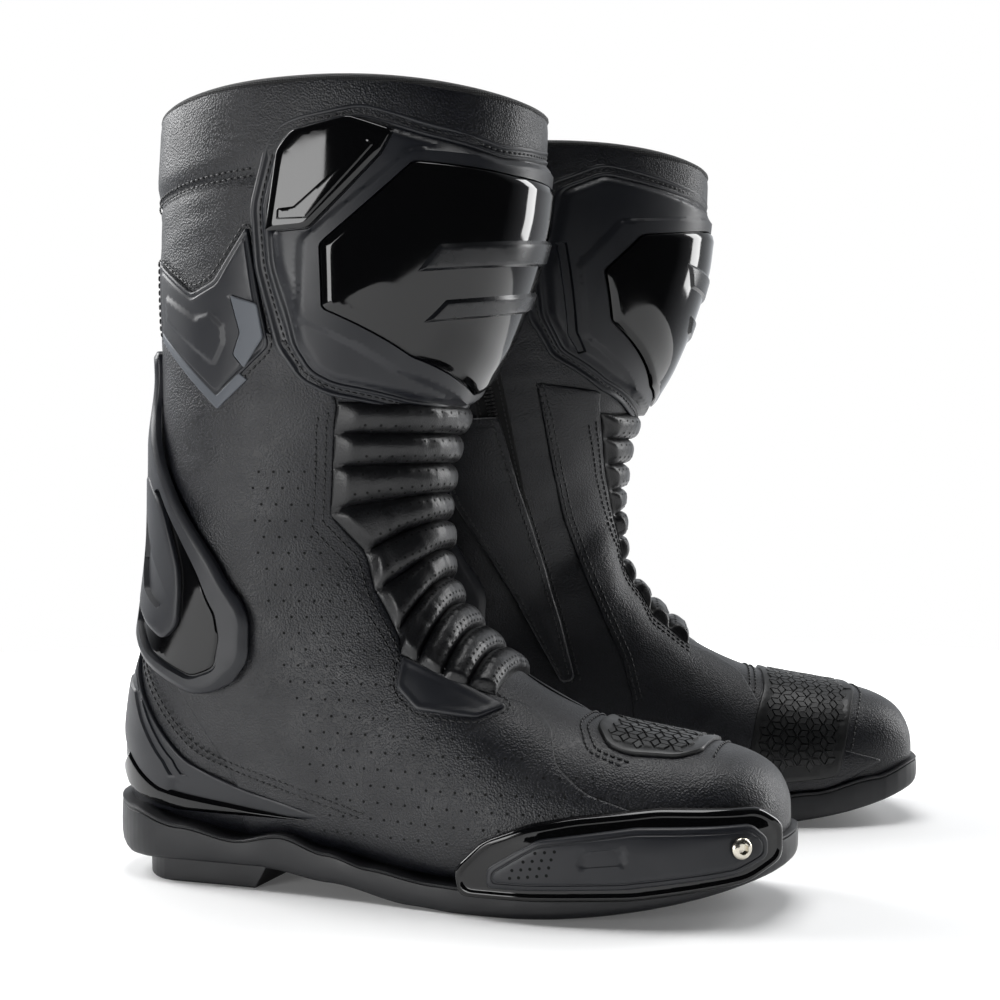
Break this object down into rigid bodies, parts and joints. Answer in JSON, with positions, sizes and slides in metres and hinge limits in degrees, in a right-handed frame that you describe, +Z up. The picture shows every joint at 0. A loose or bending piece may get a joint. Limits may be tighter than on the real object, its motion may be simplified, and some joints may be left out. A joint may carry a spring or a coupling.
{
  "type": "motorcycle boot pair",
  "caption": "Pair of tall black riding boots: hinged shafts on hollow feet, shin and ankle shields, bellows, zip with pull, closing flap, toe sliders and shift pads",
  "frame": {"origin": "Bottom centre of the pair's bounding box, on the ground the soles stand on", "axes": "+X from heel to toe of the right boot, +Y towards the left boot, +Z up. The right boot points along +X and the left one is turned 20 degrees outwards about +Z."},
  "size_m": [0.3446, 0.3436, 0.3521],
  "materials": {
    "leather": "black, finely grained, satin",
    "matte_shell": "black moulded plastic, satin, fine texture",
    "gloss_shell": "black moulded plastic, gloss",
    "rubber": "black, matte, moulded",
    "shift_rubber": "black, matte, raised blocks",
    "lining": "black padded textile",
    "binding": "black woven tape",
    "zip_tape": "black woven tape with plastic teeth",
    "zip_metal": "blackened metal",
    "zip_tab": "black moulded tab",
    "reflector": "silver-grey reflective film",
    "bright_steel": "zinc plated, bright",
    "shank_steel": "plain spring steel",
    "toe_puff": "moulded stiffener, hidden",
    "board": "pressed fibre board, hidden",
    "footbed": "soft foam with a textile top"
  },
  "bodies": {
    "right_foot": {"right_outsole": "rubber", "right_heel_block": "rubber", "right_shank": "shank_steel", "right_foot_upper": "leather", "right_toe_puff": "toe_puff", "right_insole_board": "board", "right_footbed": "footbed", "right_heel_counter": "matte_shell", "right_toe_slider_tray": "matte_shell", "right_toe_slider_insert": "gloss_shell", "right_toe_slider_screw": "bright_steel", "right_shift_pad": "shift_rubber", "right_vent_tag": "matte_shell", "right_ankle_leather": "leather", "right_front_accordion": "leather"},
    "right_shaft": {"right_shaft_upper": "leather", "right_shaft_lining": "lining", "right_rim_binding": "binding", "right_shin_plate": "matte_shell", "right_shin_insert": "gloss_shell", "right_shin_corner_insert": "gloss_shell", "right_calf_panel": "matte_shell", "right_calf_reflector": "reflector", "right_outer_brace": "matte_shell", "right_outer_brace_insert": "gloss_shell", "right_inner_brace": "matte_shell", "right_zip_chain": "zip_tape"},
    "right_slider": {"right_zip_slider": "zip_metal"},
    "right_pull": {"right_zip_pull": "zip_tab"},
    "right_flap": {"right_zip_flap": "leather"},
    "left_foot": {"left_outsole": "rubber", "left_heel_block": "rubber", "left_shank": "shank_steel", "left_foot_upper": "leather", "left_toe_puff": "toe_puff", "left_insole_board": "board", "left_footbed": "footbed", "left_heel_counter": "matte_shell", "left_toe_slider_tray": "matte_shell", "left_toe_slider_insert": "gloss_shell", "left_toe_slider_screw": "bright_steel", "left_shift_pad": "shift_rubber", "left_vent_tag": "matte_shell", "left_ankle_leather": "leather", "left_front_accordion": "leather"},
    "left_shaft": {"left_shaft_upper": "leather", "left_shaft_lining": "lining", "left_rim_binding": "binding", "left_shin_plate": "matte_shell", "left_shin_insert": "gloss_shell", "left_shin_corner_insert": "gloss_shell", "left_calf_panel": "matte_shell", "left_calf_reflector": "reflector", "left_outer_brace": "matte_shell", "left_outer_brace_insert": "gloss_shell", "left_inner_brace": "matte_shell", "left_zip_chain": "zip_tape"},
    "left_slider": {"left_zip_slider": "zip_metal"},
    "left_pull": {"left_zip_pull": "zip_tab"},
    "left_flap": {"left_zip_flap": "leather"}
  },
  "joints": [
    {"name": "left_boot_lift", "type": "slide", "parent": "right_foot", "child": "left_foot", "axis": [0, 0, 1], "range_m": [0, 0.3]},
    {"name": "right_ankle_flex", "type": "hinge", "parent": "right_foot", "child": "right_shaft", "pos_m": [-0.09984, -0.10083, 0.1], "axis": [0, 1, 0], "range_deg": [-8, 16], "stiffness_Nm_per_rad": 14, "springref_deg": -1.15, "deforming": ["right_ankle_leather", "right_front_accordion"]},
    {"name": "right_flap_open", "type": "hinge", "parent": "right_shaft", "child": "right_flap", "pos_m": [-0.08291, -0.0439, 0.21259], "axis": [0.2808, -0.0982, -0.9547], "range_deg": [0, 75]},
    {"name": "right_zip_slide", "type": "slide", "parent": "right_shaft", "child": "right_slider", "axis": [0.2028, -0.0012, -0.9792], "range_m": [0, 0.085]},
    {"name": "right_zip_pull_swing", "type": "hinge", "parent": "right_slider", "child": "right_pull", "pos_m": [-0.11083, -0.03792, 0.32033], "axis": [0.9124, 0.3632, 0.1885], "range_deg": [0, 150]},
    {"name": "left_ankle_flex", "type": "hinge", "parent": "left_foot", "child": "left_shaft", "pos_m": [-0.06154, 0.05549, 0.1], "axis": [-0.342, 0.9397, 0], "range_deg": [-8, 16], "stiffness_Nm_per_rad": 14, "springref_deg": -1.15, "deforming": ["left_ankle_leather", "left_front_accordion"]},
    {"name": "left_flap_open", "type": "hinge", "parent": "left_shaft", "child": "left_flap", "pos_m": [-0.02615, 0.00778, 0.21259], "axis": [-0.2303, -0.1884, 0.9547], "range_deg": [0, 75]},
    {"name": "left_zip_slide", "type": "slide", "parent": "left_shaft", "child": "left_slider", "axis": [0.1901, 0.0705, -0.9792], "range_m": [0, 0.085]},
    {"name": "left_zip_pull_swing", "type": "hinge", "parent": "left_slider", "child": "left_pull", "pos_m": [-0.05035, -0.00738, 0.32033], "axis": [-0.9816, 0.0293, -0.1885], "range_deg": [0, 150]}
  ]
}
